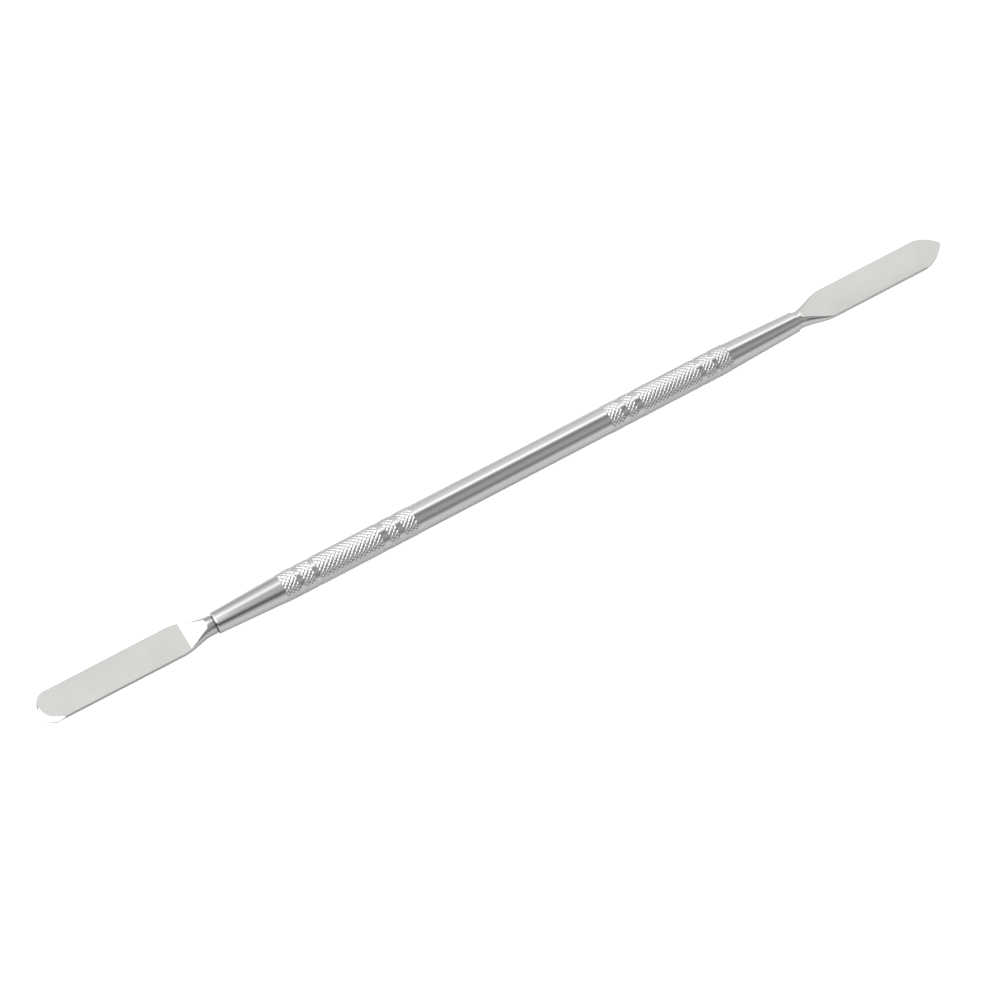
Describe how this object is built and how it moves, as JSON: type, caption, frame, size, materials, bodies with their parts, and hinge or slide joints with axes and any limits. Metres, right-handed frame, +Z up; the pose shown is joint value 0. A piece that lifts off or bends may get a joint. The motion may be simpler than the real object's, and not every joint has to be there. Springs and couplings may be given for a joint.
{
  "type": "double-ended metal spudger",
  "caption": "Double-ended metal spudger: a knurled tube handle with a round-ended flat blade at one end and a pointed one at the other, for prying and scraping small devices.",
  "frame": {"origin": "under the middle of the tool, on the surface that it lies on", "axes": "+X along the tool, towards the pointed blade; +Z up, square to the faces of the blades; +Y across the blades"},
  "size_m": [0.18, 0.006, 0.0051],
  "materials": {
    "handle_steel": "polished stainless steel tube with diamond knurling",
    "blade_steel": "satin, fine-ground stainless steel"
  },
  "bodies": {
    "root": {"handle": "handle_steel", "round_blade": "blade_steel", "pointed_blade": "blade_steel"}
  },
  "joints": []
}
